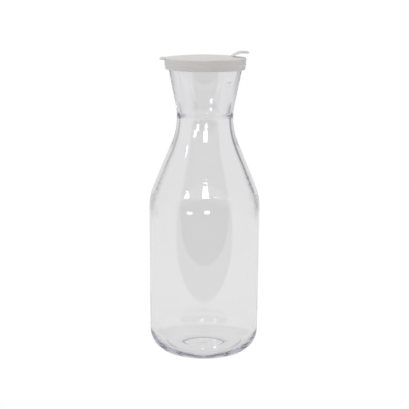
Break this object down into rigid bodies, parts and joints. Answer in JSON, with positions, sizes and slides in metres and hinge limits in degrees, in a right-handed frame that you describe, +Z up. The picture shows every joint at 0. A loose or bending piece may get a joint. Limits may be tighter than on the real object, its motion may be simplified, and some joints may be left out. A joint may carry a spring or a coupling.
{
  "type": "beverage decanter",
  "caption": "Clear plastic beverage decanter, empty, with a flared mouth, a narrow waist, sloping shoulders and a white push-fit lid with a thumb tab.",
  "frame": {"origin": "on the bottle's turning axis, in the plane of its standing ring", "axes": "+Z up along the bottle's axis, +X towards the lid's thumb tab, so the picture looks along +Y"},
  "size_m": [0.0924, 0.0924, 0.2533],
  "materials": {
    "clear_plastic": "clear polished polycarbonate with a faint violet grey cast",
    "white_plastic": "opaque white polyethylene, satin"
  },
  "bodies": {
    "root": {"bottle": "clear_plastic", "lid": "white_plastic"}
  },
  "joints": []
}
